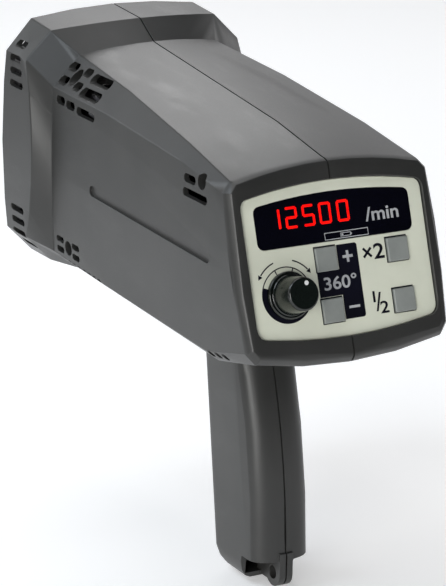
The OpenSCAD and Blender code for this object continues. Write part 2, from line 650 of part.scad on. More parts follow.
// Control panel, with openings for the keys, the window and the encoder's bush
panel_t = 2.5;
window_w = panel_w - 6.5;
window_low = 38;
function window_corners(g) = concat(corner_arc(window_w - 3, 53.9, 3 + g, 3 + g, 90),
    corner_arc(window_w - 3.2, window_low + 3, 3.2 + g, 3 + g, 0));
function window_outline(g) = concat(
    [for (i = [1:9]) let (u = i / 5 - 1) [u * (window_w - 3), 56.9 + 2.6 * (1 - u * u) + g]],
    window_corners(g), mirrored(window_corners(g)));
window_t = 1.5;
encoder_bush_r = 3.5;
module key_openings(g, n0, n1) {
    for (x = key_x, v = key_v) at_panel(x, v, n0) translate([-key_side / 2 - g, -key_side / 2 - g, 0])
        cube([key_side + 2 * g, key_side + 2 * g, n1 - n0]);
}
pillar_r = 2.4;
pillar_at = [for (x = [6 - panel_w, panel_w - 6], v = [6, 33]) [x, v]];
board_n = -10.6;
module control_panel() {
    color(cream) difference() {
        union() {
            panel_plate(0, lip_n - 0.1, 0);
            panel_plate(1.4, flange_n, lip_n - 0.1);
            for (p = pillar_at) at_panel(p[0], p[1], board_n + board_t)
                cylinder(h = -board_n - board_t + flange_n + 0.1, r = pillar_r);
        }
        key_openings(key_gap, -4, 1);
        at_panel(0, 0, -window_t) linear_extrude(3) polygon(window_outline(0.1));
        at_panel(0, 0, -4) linear_extrude(5) polygon(window_outline(-2));
        at_panel(knob_at[0], knob_at[1], -4) cylinder(h = 6, r = encoder_bush_r + 0.1);
        for (p = pillar_at) at_panel(p[0], p[1], board_n) cylinder(h = 7.6, r = board_screw_r + thread_gap);
    }
}
module display_window() {
    color([0.02, 0.02, 0.05, 0.6]) at_panel(0, 0, -window_t + 0.02)
        linear_extrude(window_t - 0.02) polygon(window_outline(0));
}
digit_x = [-29.4, -20.9, -12.4, -4, 5];
digit_v = 50.2;
module display_digits() {
    color([0.2, 0.02, 0.02]) {
        for (x = digit_x) at_panel(x - 3.7, digit_v - 7.4, board_n + board_t + 0.05) cube([7.4, 14.8, 5.6]);
        at_panel(0.2, 40.4, board_n + board_t + 0.05) cube([10, 2, 5]);
    }
}
control_v = [0.4, 59.4];
module control_board() {
    color(board_green) difference() {
        at_panel(2.5 - panel_w, control_v[0], board_n)
            cube([2 * panel_w - 5, control_v[1] - control_v[0], board_t]);
        for (p = pillar_at) at_panel(p[0], p[1], board_n - 1) cylinder(h = 4, r = board_screw_r + 0.15);
    }
}
module control_screws() {
    color(steel) for (p = pillar_at) at_panel(p[0], p[1], board_n) rotate([180, 0, 0])
        screw(board_screw_r, 7, board_head_r, board_head_h);
}
module ribbon_cable() {
    color([0.6, 0.6, 0.6]) {
        a = on_panel([0, 12], board_n - 0.3);
        for (x = [for (i = [-5:5]) i * 1.27])
            wire(arc_pts(a + [x, 0, 0], a + [x, 14, -4], [x, -104, main_board_z + 16],
                [x, -92.5, board_top_z + 0.8], 8), 0.62);
    }
}

// Keys: cap, flange behind the panel, and a stem over the switch
key_proud = 1.05;
key_back_n = -2.9;
key_flange = key_side + 2;
key_stem = 3.6;
key_wall = 1.2;
switch_top_n = -5.8;
plunger_r = 1.7;
module square_bar(side, n0, n1) {
    translate([-side / 2, -side / 2, n0]) cube([side, side, n1 - n0]);
}
module key_cap(x, v) {
    at_panel(x, v, 0) difference() {
        union() {
            square_bar(key_side, key_back_n, key_proud);
            square_bar(key_flange, key_back_n - 0.9, key_back_n + 0.1);
            square_bar(key_stem, key_back_n - 2, key_back_n - 0.8);
        }
        difference() {
            square_bar(key_side - 2 * key_wall, key_back_n - 1.3, -0.4);
            square_bar(key_stem, key_back_n - 3, 0);
        }
    }
}
plunger_low_n = switch_top_n - 1.3 - key_travel;
module plunger(x, v) {
    at_panel(x, v, plunger_low_n) cylinder(h = key_back_n - 2.02 - plunger_low_n, r = plunger_r);
}
module key_plus() { color(grey_key) key_cap(key_x[0], key_v[1]); }
module key_minus() { color(grey_key) key_cap(key_x[0], key_v[0]); }
module key_double() { color(grey_key) key_cap(key_x[1], key_v[1]); }
module key_half() { color(grey_key) key_cap(key_x[1], key_v[0]); }
module plunger_plus() { color(black) plunger(key_x[0], key_v[1]); }
module plunger_minus() { color(black) plunger(key_x[0], key_v[0]); }
module plunger_double() { color(black) plunger(key_x[1], key_v[1]); }
module plunger_half() { color(black) plunger(key_x[1], key_v[0]); }
module key_switches() {
    color([0.2, 0.2, 0.22]) for (x = key_x, v = key_v) difference() {
        at_panel(x - 3, v - 3, board_n + board_t + 0.02)
            cube([6, 6, switch_top_n - board_n - board_t - 0.02]);
        at_panel(x, v, board_n + board_t + 0.5) cylinder(h = 6, r = plunger_r + 0.1);
    }
}

// Rotary encoder and knob
module at_knob(n) {
    at_panel(knob_at[0], knob_at[1], n) children();
}
shaft_r = 3;
module encoder_body() {
    color([0.55, 0.56, 0.58]) difference() {
        union() {
            at_knob(board_n + board_t + 0.02) translate([-6, -6, 0]) cube([12, 12, 6]);
            at_knob(-3.5) cylinder(h = 6, r = encoder_bush_r);
        }
        at_knob(-5) cylinder(h = 9, r = shaft_r + turn_gap);
    }
}
module encoder_nut() {
    color(steel) difference() {
        at_knob(0.1) cylinder(h = 2, r = 5.6, $fn = 6);
        at_knob(-1) cylinder(h = 5, r = encoder_bush_r + thread_gap);
    }
}
module encoder_shaft() {
    color(steel) difference() {
        at_knob(-4.8) cylinder(h = 16.8, r = shaft_r);
        at_knob(4) translate([1.6, -5, 0]) cube([5, 10, 12]);
    }
}
module knob() {
    color(black) difference() {
        at_knob(0) rotate_extrude($fn = 96) polygon([[0, 2.8], [6.5, 2.8], [6.5, 0.5],
            [10.2, 0.5], [10.4, 0.9], [10.4, 2.6],
            [9.9, 3.1], [8.7, 3.3], [8.5, 3.8], [knob_r, knob_h - 0.7], [knob_r - 0.6, knob_h], [0, knob_h]]);
        difference() {
            at_knob(0) cylinder(h = 12.1, r = shaft_r + 0.01);
            at_knob(4) translate([1.61, -5, 0]) cube([5, 10, 12]);
        }
        at_knob(knob_h - 0.5) rotate(-20) translate([0, 4.9, 0]) cylinder(h = 2, r = 1.02, $fn = 32);
    }
}
module knob_dot() {
    color("white") at_knob(knob_h - 0.48) rotate(-20) translate([0, 4.9, 0])
        cylinder(h = 0.55, r = 1, $fn = 32);
}

// Trigger, its pin, return spring and microswitch
module trigger() {
    color(black) difference() {
        side_extrude(-6, 6) union() {
            translate(pin_at) circle(4);
            polygon([[-34.2, -9.6], [-31.2, -11.6], [-28.9, -15], [-29.2, -20], [-30.2, -25], [-30.4, -30],
                [-29.4, -34.5],
                [-27.4, -38], [-27.2, -40], [-28.6, -41.2], [-36, -41], [-41.4, -38.5], [-42.2, -34], [-42.2, -20],
                [-41.4, -14]]);
        }
        rod_x(pin_at[0], pin_at[1], pin_r + turn_gap, -10, 10);
        for (s = [-1, 1]) translate([s > 0 ? 1 : -4.4, -41.0, -39]) cube([3.4, 7.5, 20]);
    }
    color(black) side_extrude(-3, 3) polygon([[-40, -9.9], [-40.6, -13.6], [-49.2, -12.8], [-49.2, -10]]);
}
module trigger_pin() {
    color(steel) rod_x(pin_at[0], pin_at[1], pin_r, -pin_len / 2, pin_len / 2);
}
// Compression spring, its ends straight along the axis
spring_r = 2.2;
spring_wire = 0.35;
spring_turns = 5;
module trigger_spring() {
    n = spring_turns * 8;
    span = spring_top_z - spring_low_z - 4 * spring_wire;
    color(steel) wire(concat([[spring_r, spring_at_y, spring_low_z + 0.1]],
        [for (i = [0:n]) [spring_r * cos(45 * i), spring_at_y + spring_r * sin(45 * i),
            spring_low_z + 2 * spring_wire + span * i / n]],
        [[spring_r, spring_at_y, spring_top_z - 0.1]]), spring_wire);
}
switch_z = -25;
module trigger_switch() {
    color([0.12, 0.12, 0.13]) difference() {
        translate([-3.2, -57, -36]) cube([6.4, 10.2, 19.5]);
        for (p = peg_at) rod_x(p[0], p[1], peg_r + seat_gap, -5, 5);
        rod_y(0, switch_z, 1.3, -51.6, -40);
    }
}
module switch_plunger() {
    color("firebrick") rod_y(0, switch_z, 1.2, -49.6, -42.5);
}

// Battery pack: three cells, raked with the grip
cell_r = 7.1;
pack_top = [-65.6, -16.7];
pack_foot = 17.8;
cell_l = (grip_z + pack_top[1] - pack_foot) / 2;
pack_rake = 10;
module at_pack() {
    translate([0, pack_top[0], pack_top[1]]) rotate([-pack_rake, 0, 0]) children();
}
module cell() {
    translate([0, 0, -cell_l]) cylinder(h = cell_l - 1, r = cell_r);
    translate([0, 0, -1.02]) cylinder(h = 0.9, r = 2.6);
}
module battery_cells() {
    color([0.15, 0.35, 0.6]) at_pack() {
        cell();
        translate([0, 0, -cell_l - 0.6]) cell();
        translate([0, 14.6, -cell_l - 0.6]) cell();
    }
}
module battery_tabs() {
    color(steel) at_pack() {
        translate([-2.5, -3, 0]) cube([5, 6, 0.3]);
        translate([-2.5, -2.5, -cell_l - 0.55]) cube([5, 5, 0.3]);
        translate([-2.5, -1, -2 * cell_l - 1]) cube([5, 17, 0.3]);
        translate([-2.5, 12.1, -cell_l - 0.6]) cube([5, 5, 0.3]);
    }
}
module battery_leads() {
    color("red") for (s = [-1, 1]) wire(arc_pts([s * 1.6, pack_top[0] + 0.2, pack_top[1] + 0.9],
        [s * 1.6, -64, -4], [s * 5, -56, 6], [s * 5, -55, main_board_z - 0.4], 10), 0.7);
}

// Jacks in the right side: bushes point out along +X
jack_x = jack_wall_x - 13;
jack_end = 1.5;
bush_out = 2.4;
sync_bore_r = 1.8;
module jack(at, bush_r, body, bore_r, x0) {
    difference() {
        union() {
            translate([x0, at[0] - body / 2, at[1] - body / 2])
                cube([jack_wall_x - wall - x0 - seat_gap, body, body]);
            rod_x(at[0], at[1], bush_r, jack_wall_x - wall - 1, jack_wall_x + bush_out);
        }
        rod_x(at[0], at[1], bore_r, x0 + jack_end, side_x);
    }
}
module sync_jack() { color(steel) jack(sync_at, sync_bush_r, 9, sync_bore_r, jack_x); }
module charge_jack() {
    color(black) jack(charge_at, charge_bush_r, 12, 2.8, jack_x);
    color(steel) rod_x(charge_at[0], charge_at[1], 1, jack_x + jack_end - 0.1, jack_wall_x - past);
}
module jack_nuts() {
    color(steel) for (q = [[sync_at, sync_bush_r], [charge_at, charge_bush_r]]) difference() {
        rod_x(q[0][0], q[0][1], q[1] + 1.7, jack_wall_x + 0.02, jack_wall_x + bush_out - 0.4);
        rod_x(q[0][0], q[0][1], q[1] + thread_gap, side_slot_x, side_x);
    }
}

left_case();
right_case();
case_screws();
grip_screws();
tripod_insert();
lens();
lens_gasket();
lens_frame();
lens_screws();
reflector();
flash_tube();
tube_electrodes();
trigger_band();
lamp_base();
lamp_socket();
lamp_leads();
main_board();
board_screws();
flash_capacitors();
transformer_core();
transformer_coil();
pulse_coil();
heat_sink();
control_panel();
display_window();
display_digits();
control_board();
control_screws();
ribbon_cable();
key_switches();
key_plus();
key_minus();
key_double();
key_half();
plunger_plus();
plunger_minus();
plunger_double();
plunger_half();
encoder_body();
encoder_nut();
encoder_shaft();
knob();
knob_dot();
trigger();
trigger_pin();
trigger_spring();
trigger_switch();
switch_plunger();
battery_cells();
battery_tabs();
battery_leads();
sync_jack();
charge_jack();
jack_nuts();
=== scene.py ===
import math
import bmesh
import bpy
from mathutils import Matrix, Vector
from mathutils.bvhtree import BVHTree


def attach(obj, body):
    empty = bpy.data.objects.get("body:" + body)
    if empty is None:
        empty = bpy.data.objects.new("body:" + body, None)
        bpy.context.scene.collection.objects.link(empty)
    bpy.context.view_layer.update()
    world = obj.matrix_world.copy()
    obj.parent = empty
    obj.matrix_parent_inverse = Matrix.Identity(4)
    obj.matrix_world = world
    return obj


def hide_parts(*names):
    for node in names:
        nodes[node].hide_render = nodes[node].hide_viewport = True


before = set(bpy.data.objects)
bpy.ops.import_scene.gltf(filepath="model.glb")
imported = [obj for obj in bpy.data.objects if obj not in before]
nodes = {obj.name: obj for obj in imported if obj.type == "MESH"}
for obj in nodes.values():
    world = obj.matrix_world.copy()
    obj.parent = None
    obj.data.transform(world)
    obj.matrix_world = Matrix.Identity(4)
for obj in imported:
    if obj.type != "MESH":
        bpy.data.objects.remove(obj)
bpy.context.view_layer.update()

mm = 0.001
print("frame loaded,", len(nodes), "nodes")

# camera at the photograph's angle
eye = {"at": (-0.65447016, -1.1898787, 0.42481614), "turn": (1.26696643, -0.01523751, -0.5058935),
       "lens": 184.3003, "shiftX": 0.01184, "shiftY": -0.005356}
cameraData = bpy.data.cameras.new("eye")
cameraData.lens = eye["lens"]
cameraData.sensor_width = 36
cameraData.shift_x = eye["shiftX"]
cameraData.shift_y = eye["shiftY"]
camera = bpy.data.objects.new("eye", cameraData)
camera.location = eye["at"]
camera.rotation_euler = eye["turn"]
bpy.context.scene.collection.objects.link(camera)
bpy.context.scene.camera = camera
bpy.context.scene.view_settings.view_transform = "Standard"


class Signal:  # one shader value; sums and products of it add Math nodes
    def __init__(self, tree, socket=None):
        self.tree, self.socket = tree, socket

    def node(self, kind, settings=None, inputs=None, out=0):
        made = self.tree.nodes.new("ShaderNode" + kind)
        for key, value in (settings or {}).items():
            setattr(made, key, value)
        for key, value in (inputs or {}).items():
            if isinstance(value, Signal):
                self.tree.links.new(value.socket, made.inputs[key])
            else:
                made.inputs[key].default_value = value
        return Signal(self.tree, made.outputs[out])

    def sum(self, how, first, second):
        return self.node("Math", {"operation": how}, {0: first, 1: second})

    def __add__(self, other):
        return self.sum("ADD", self, other)

    def __sub__(self, other):
        return self.sum("SUBTRACT", self, other)

    def __rsub__(self, other):
        return self.sum("SUBTRACT", other, self)

    def __mul__(self, other):
        return self.sum("MULTIPLY", self, other)

    __radd__ = __add__
    __rmul__ = __mul__

    def ease(self, low, high):  # 0 below low, 1 above high
        return self.node("MapRange", {"interpolation_type": "SMOOTHSTEP"},
                         {0: self, 1: low, 2: high, 3: 0.0, 4: 1.0})

    def tint(self, first, second):  # first where this is 0, second where it is 1
        colours = {6: first if isinstance(first, Signal) else (*first, 1),
                   7: second if isinstance(second, Signal) else (*second, 1)}
        return self.node("Mix", {"data_type": "RGBA"}, {0: self, **colours}, 2)

    def noise(self, scale, detail=3.0, rough=0.5):
        return self.node("TexNoise", {}, {"Vector": self, "Scale": scale, "Detail": detail,
                                          "Roughness": rough})

    def stretched(self, scale, turn=(0, 0, 0)):
        return self.node("Mapping", {}, {"Vector": self, "Rotation": turn, "Scale": scale})

    def axis(self, which):
        return self.node("SeparateXYZ", {}, {0: self}, "XYZ".index(which))

    def bump(self, strength, depth):
        return self.node("Bump", {}, {"Height": self, "Strength": strength, "Distance": depth})


def newLook(name, **fixed):
    look = bpy.data.materials.new(name)
    look.use_nodes = True
    shader = look.node_tree.nodes["Principled BSDF"]
    for key, value in fixed.items():
        shader.inputs[key.replace("_", " ")].default_value = value
    place = Signal(look.node_tree, look.node_tree.nodes.new("ShaderNodeTexCoord").outputs["Object"])
    return look, shader, place


def feed(shader, **wires):
    for key, value in wires.items():
        value.tree.links.new(value.socket, shader.inputs[key.replace("_", " ")])


def moulded(name, s):  # moulded plastic: drifting tone, spark-eroded grain, handled patches
    look, shader, place = newLook(name, **s.get("fixed", {}))
    drift = place.noise(s.get("drift", 28), 4)
    grain = place.noise(s["grain"], 2, 0.6)
    rubbed = place.stretched((1, 0.35, 1)).noise(s.get("rub", 60), 6, 0.65).ease(0.5, 0.72)
    tone = drift.ease(0.3, 0.7).tint(s["dark"], s["light"])
    shown = (rubbed * s.get("rubTint", 0.25)).tint(tone, s.get("rubColour", s["light"]))
    feed(shader, Base_Color=shown, Roughness=s["rough"] + grain * s["spread"] - rubbed * s.get("polish", 0.05),
         Normal=grain.bump(s["bump"], s["depth"]))
    return look


def brushed(name, s):  # turned or drawn metal: fine lines along one way, dulled in patches
    look, shader, place = newLook(name, Metallic=1.0, **s.get("fixed", {}))
    lines = place.stretched(s["lines"]).noise(1.0, 3, 0.7)
    dull = place.noise(s.get("dull", 140), 4).ease(0.45, 0.7)
    feed(shader, Base_Color=(dull * 0.6 + lines * 0.3).tint(s["bright"], s["dark"]),
         Roughness=s["rough"] + lines * s["spread"] + dull * 0.12, Normal=lines.bump(0.25, s["depth"]))
    return look


looks = {}
looks["case"] = moulded("charcoalPlastic", {
    "dark": (0.028, 0.0282, 0.0268), "light": (0.036, 0.0356, 0.0340), "grain": 2600, "bump": 0.3, "depth": 0.00006,
    "rough": 0.30, "spread": 0.16, "rubTint": 0.16, "rubColour": (0.043, 0.0425, 0.041)})
looks["case_right"] = looks["case"]
looks["black_plastic"] = moulded("blackPlastic", {
    "dark": (0.010, 0.010, 0.011), "light": (0.019, 0.019, 0.020), "grain": 2200, "bump": 0.3, "depth": 0.00005,
    "rough": 0.38, "spread": 0.18})
looks["knob_plastic"] = moulded("knobPlastic", {
    "dark": (0.0015, 0.0035, 0.0025), "light": (0.003, 0.006, 0.0045), "grain": 900, "bump": 0.08, "depth": 0.00002,
    "rough": 0.16, "spread": 0.1, "polish": 0.04, "fixed": {"Coat_Weight": 0.3, "Coat_Roughness": 0.12}})
looks["panel_face"] = moulded("creamPanel", {
    "dark": (0.745, 0.765, 0.635), "light": (0.80, 0.82, 0.685), "grain": 1800, "bump": 0.16, "depth": 0.00003,
    "rough": 0.42, "spread": 0.14, "drift": 45, "rubTint": 0.25, "rubColour": (0.72, 0.74, 0.615)})
looks["key_plastic"] = moulded("greyKeyPlastic", {
    "dark": (0.255, 0.272, 0.258), "light": (0.295, 0.312, 0.297), "grain": 2400, "bump": 0.25, "depth": 0.00004,
    "rough": 0.4, "spread": 0.16, "drift": 90})
looks["smoked_window"] = moulded("smokedWindow", {
    "dark": (0.0012, 0.0012, 0.004), "light": (0.002, 0.002, 0.006), "grain": 700, "bump": 0.02, "depth": 0.00001,
    "rough": 0.05, "spread": 0.05, "polish": 0.02, "rubTint": 0.1, "rubColour": (0.006, 0.006, 0.012),
    "fixed": {"Specular_IOR_Level": 0.22}})
looks["gasket_rubber"] = moulded("gasketRubber", {
    "dark": (0.012, 0.012, 0.012), "light": (0.022, 0.021, 0.02), "grain": 1500, "bump": 0.4, "depth": 0.00008,
    "rough": 0.62, "spread": 0.2})
looks["ceramic_base"] = moulded("unglazedCeramic", {
    "dark": (0.62, 0.58, 0.50), "light": (0.76, 0.73, 0.66), "grain": 1900, "bump": 0.5, "depth": 0.00008,
    "rough": 0.7, "spread": 0.2, "drift": 120})
looks["ferrite"] = moulded("sinteredFerrite", {
    "dark": (0.028, 0.028, 0.032), "light": (0.05, 0.05, 0.056), "grain": 3000, "bump": 0.6, "depth": 0.00007,
    "rough": 0.55, "spread": 0.25, "drift": 200})
looks["digit_body"] = moulded("digitEpoxy", {
    "dark": (0.05, 0.004, 0.004), "light": (0.09, 0.008, 0.007), "grain": 1000, "bump": 0.1, "depth": 0.00003,
    "rough": 0.22, "spread": 0.12})
looks["white_inlay"] = moulded("whiteInlay", {
    "dark": (0.72, 0.73, 0.72), "light": (0.86, 0.87, 0.86), "grain": 1600, "bump": 0.1, "depth": 0.00003,
    "rough": 0.3, "spread": 0.1, "rubTint": 0.1})
looks["lead_red"] = moulded("leadSleeve", {
    "dark": (0.32, 0.012, 0.012), "light": (0.45, 0.022, 0.02), "grain": 1300, "bump": 0.2, "depth": 0.00004,
    "rough": 0.42, "spread": 0.15, "drift": 150})
looks["red_plastic"] = moulded("redPlunger", {
    "dark": (0.30, 0.01, 0.01), "light": (0.42, 0.02, 0.018), "grain": 2000, "bump": 0.15, "depth": 0.00003,
    "rough": 0.3, "spread": 0.12, "drift": 220})
looks["steel"] = brushed("platedSteel", {
    "bright": (0.66, 0.66, 0.68), "dark": (0.40, 0.40, 0.42), "lines": (900, 900, 5200),
    "rough": 0.2, "spread": 0.14, "depth": 0.00002})
looks["brass_part"] = brushed("turnedBrass", {
    "bright": (0.80, 0.60, 0.27), "dark": (0.48, 0.33, 0.13), "lines": (500, 500, 6500),
    "rough": 0.2, "spread": 0.16, "depth": 0.00003})
looks["encoder_metal"] = brushed("dieCastMetal", {
    "bright": (0.52, 0.53, 0.55), "dark": (0.34, 0.34, 0.36), "lines": (1500, 1500, 1500),
    "rough": 0.34, "spread": 0.2, "depth": 0.00004})
looks["sink_aluminium"] = brushed("anodisedAluminium", {
    "bright": (0.09, 0.09, 0.095), "dark": (0.035, 0.035, 0.04), "lines": (700, 9000, 700),
    "rough": 0.36, "spread": 0.2, "depth": 0.00004})
looks["bright_reflector"] = brushed("platedReflector", {
    "bright": (0.93, 0.93, 0.94), "dark": (0.80, 0.80, 0.82), "lines": (420, 420, 420),
    "rough": 0.05, "spread": 0.07, "depth": 0.00008, "dull": 60})


def clearLook(name, s):  # glass or clear plastic with faint smears
    look, shader, place = newLook(name, IOR=s["ior"], Transmission_Weight=1.0)
    smear = place.stretched((1, 0.4, 1)).noise(s["smear"], 5, 0.6).ease(0.45, 0.8)
    feed(shader, Base_Color=smear.tint(s["clear"], s["dim"]), Roughness=s["rough"] + smear * 0.05,
         Normal=place.noise(s["smear"] * 4, 2).bump(0.05, 0.00002))
    return look


looks["clear_lens"] = clearLook("clearLens", {"ior": 1.585, "smear": 35, "rough": 0.02,
                                              "clear": (0.97, 0.985, 0.99), "dim": (0.93, 0.95, 0.955)})
looks["tube_glass"] = clearLook("tubeGlass", {"ior": 1.46, "smear": 160, "rough": 0.01,
                                              "clear": (0.985, 0.99, 1.0), "dim": (0.94, 0.95, 0.97)})


def boardLook():  # laminate with solder mask, tracks and tinned pads
    s = {"mask": (0.012, 0.085, 0.038), "track": (0.03, 0.16, 0.07), "pad": (0.62, 0.62, 0.6),
         "row": 230, "pitch": 395}
    look, shader, place = newLook("circuitBoard", Coat_Weight=0.2, Coat_Roughness=0.2)
    wave = place.noise(26, 1)
    runs = [place.node("TexWave", {"bands_direction": way}, {"Vector": place, "Scale": scale, "Distortion": 0.0})
            for way, scale in (("X", s["row"]), ("Y", s["row"] * 0.8))]
    pick = wave.ease(0.48, 0.52)
    tracks = (pick * runs[0] + (1 - pick) * runs[1]).ease(0.72, 0.8)
    pads = 1 - place.node("TexVoronoi", {}, {"Vector": place, "Scale": s["pitch"],
                                             "Randomness": 0.25}).ease(0.18, 0.24)
    pads = pads * place.noise(60, 2).ease(0.5, 0.55)
    feed(shader, Base_Color=pads.tint(tracks.tint(s["mask"], s["track"]), s["pad"]), Metallic=pads * 0.9,
         Roughness=0.32 - pads * 0.1 + wave * 0.08, Normal=(tracks * 0.5 + pads).bump(0.3, 0.00004))
    return look


def bandedLook(name, s):  # sleeve or wrap with bands along one axis
    look, shader, place = newLook(name)
    along = place.stretched((1, 1, 1), s.get("turn", (0, 0, 0))).axis(s["axis"])
    bands = along.node("TexWave", {"bands_direction": "X"},
                       {"Vector": along.node("CombineXYZ", {}, {0: along}), "Scale": s["scale"],
                        "Distortion": 0.0}).ease(s["edge"], s["edge"] + s.get("soft", 0.04))
    wrinkle = place.stretched(s.get("wrinkle", (300, 300, 300))).noise(1.0, 4, 0.6)
    feed(shader, Base_Color=bands.tint(wrinkle.ease(0.3, 0.7).tint(s["dark"], s["light"]), s["band"]),
         Roughness=s["rough"] + wrinkle * s["spread"], Normal=(wrinkle + bands * 0.4).bump(0.25, s["depth"]))
    return look


looks["circuit_board"] = boardLook()
looks["capacitor_sleeve"] = bandedLook("capacitorSleeve", {
    "axis": "X", "scale": 12.0, "edge": 0.86, "dark": (0.012, 0.018, 0.07), "light": (0.02, 0.03, 0.10),
    "band": (0.45, 0.47, 0.5), "rough": 0.24, "spread": 0.16, "depth": 0.00004, "wrinkle": (120, 500, 120)})
looks["coil_tape"] = bandedLook("windingTape", {
    "axis": "Z", "scale": 60.0, "edge": 0.62, "soft": 0.3, "dark": (0.48, 0.34, 0.045), "light": (0.62, 0.46, 0.08),
    "band": (0.38, 0.25, 0.03), "rough": 0.32, "spread": 0.18, "depth": 0.00006})
looks["pulse_sleeve"] = bandedLook("dippedWinding", {
    "axis": "Z", "scale": 190.0, "edge": 0.55, "soft": 0.4, "dark": (0.016, 0.03, 0.17), "light": (0.03, 0.05, 0.26),
    "band": (0.012, 0.02, 0.11), "rough": 0.2, "spread": 0.14, "depth": 0.0001})
looks["cell_wrap"] = bandedLook("cellWrap", {
    "axis": "Z", "turn": (math.radians(10), 0, 0), "scale": 7.4, "edge": 0.9, "dark": (0.02, 0.09, 0.27),
    "light": (0.03, 0.13, 0.36), "band": (0.55, 0.56, 0.57), "rough": 0.22, "spread": 0.12, "depth": 0.00004})
looks["ribbon_grey"] = bandedLook("ribbonCable", {
    "axis": "X", "scale": 125.0, "edge": 0.93, "dark": (0.33, 0.33, 0.34), "light": (0.43, 0.43, 0.44),
    "band": (0.2, 0.2, 0.21), "rough": 0.45, "spread": 0.15, "depth": 0.00004})
for obj in nodes.values():
    for holder in obj.material_slots:
        holder.material = looks[holder.material.name.split(".")[0]]
print("materials set,", len(looks), "finishes")


def only(obj):
    bpy.ops.object.select_all(action="DESELECT")
    obj.select_set(True)
    bpy.context.view_layer.objects.active = obj


def apply(obj, matrix=None):
    if matrix is not None:
        obj.matrix_world = matrix @ obj.matrix_world
    only(obj)
    bpy.ops.object.transform_apply(location=True, rotation=True, scale=True)
    return obj


def finish(obj, look, body, slot=None, smooth=30):
    obj.data.materials.clear()
    obj.data.materials.append(look)
    only(obj)
    bpy.ops.object.shade_smooth_by_angle(angle=math.radians(smooth))
    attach(obj, body)


def modified(obj, kind, **settings):
    step = obj.modifiers.new(kind.lower(), kind)
    for key, value in settings.items():
        setattr(step, key, value)
    only(obj)
    bpy.ops.object.modifier_apply(modifier=step.name)


def cleanCopy(node, name, flat=0.4):  # a merged copy of a CAD mesh, with its flat faces whole again
    obj = bpy.data.objects.new(name, nodes[node].data.copy())
    bpy.context.scene.collection.objects.link(obj)
    only(obj)
    bpy.ops.object.mode_set(mode="EDIT")
    bpy.ops.mesh.select_all(action="SELECT")
    bpy.ops.mesh.remove_doubles(threshold=0.004 * mm)
    bpy.ops.mesh.dissolve_limited(angle_limit=math.radians(flat))
    bpy.ops.object.mode_set(mode="OBJECT")
    if obj.data.has_custom_normals:
        bpy.ops.mesh.customdata_custom_splitnormals_clear()
    return obj


# rounded case halves: lengths in millimetres, angles in degrees
caseEdges = {"large": 0.6, "small": 0.25, "segments": 3, "corner": 20, "fold": 31, "longest": 14, "middling": 2.5,
             "roomLarge": 1.0, "roomSmall": 0.6, "flat": 2.6, "seam": 0.9, "stray": 0.45, "lift": 0.3, "reach": 30,
             "smooth": 32, "faceWeight": 60}


def surfaceOf(mesh):
    shape = bmesh.new()
    shape.from_mesh(mesh)
    tree = BVHTree.FromBMesh(shape)
    return shape, tree


def roomBeside(edge):  # how near the next corner of its two faces comes to an edge
    start, along = edge.verts[0].co, edge.verts[1].co - edge.verts[0].co
    room = 1.0
    for face in edge.link_faces:
        for vert in face.verts:
            if vert not in edge.verts:
                step = min(max((vert.co - start).dot(along) / along.length_squared, 0.0), 1.0)
                room = min(room, (vert.co - start - along * step).length)
    return room


def weighEdges(obj, s):  # long body edges get the large radius, vent and pocket edges the small one
    shape, tree = surfaceOf(obj.data)
    weight = shape.edges.layers.float.new("bevel_weight_edge")
    for edge in shape.edges:
        if len(edge.link_faces) != 2 or edge.calc_face_angle(0) < math.radians(s["corner"]):
            continue
        middle = (edge.verts[0].co + edge.verts[1].co) / 2
        if abs(middle.x) < s["seam"] * mm:
            continue
        along = (edge.verts[1].co - edge.verts[0].co).normalized()
        slanting = min(abs(along.y), abs(along.z)) > 0.2 and abs(along.x) < 0.3
        if slanting and edge.calc_face_angle(0) < math.radians(s["fold"]):  # a fold in the hood's curved side
            continue
        out = (edge.link_faces[0].normal + edge.link_faces[1].normal).normalized()
        if tree.ray_cast(middle + out * s["lift"] * mm, out, s["reach"] * mm)[0] is not None:  # inside the case
            continue
        big = edge.calc_length() > s["longest"] * mm and edge.is_convex
        room = roomBeside(edge)
        edge[weight] = 1.0 if big and room > s["roomLarge"] * mm else s["small"] / s["large"]
        if edge.calc_length() > s["middling"] * mm and room < s["roomSmall"] * mm:
            edge[weight] = 0.0
    shape.to_mesh(obj.data)
    shape.free()


def pullStraysBack(obj, node, s):  # a corner that the bevel threw out returns to the moulded surface
    shape, tree = surfaceOf(nodes[node].data)
    shape.free()
    strays = 0
    for vert in obj.data.vertices:
        place, normal, index, distance = tree.find_nearest(vert.co)
        if distance > s["stray"] * mm:
            vert.co = place
            strays += 1
    return strays


for side, node in (("left", "left_case"), ("right", "right_case")):
    shell = cleanCopy(node, side + "Shell", caseEdges["flat"])
    weighEdges(shell, caseEdges)
    modified(shell, "BEVEL", limit_method="WEIGHT", width=caseEdges["large"] * mm,
             segments=caseEdges["segments"], use_clamp_overlap=False, miter_outer="MITER_ARC", loop_slide=True)
    strays = pullStraysBack(shell, node, caseEdges)
    finish(shell, looks["case"], "case", "case" if side == "left" else "case_right", caseEdges["smooth"])
    modified(shell, "WEIGHTED_NORMAL", keep_sharp=True, weight=caseEdges["faceWeight"])
    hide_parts(node)
    print(side, "shell,", len(shell.data.polygons), "faces,", strays, "strays")

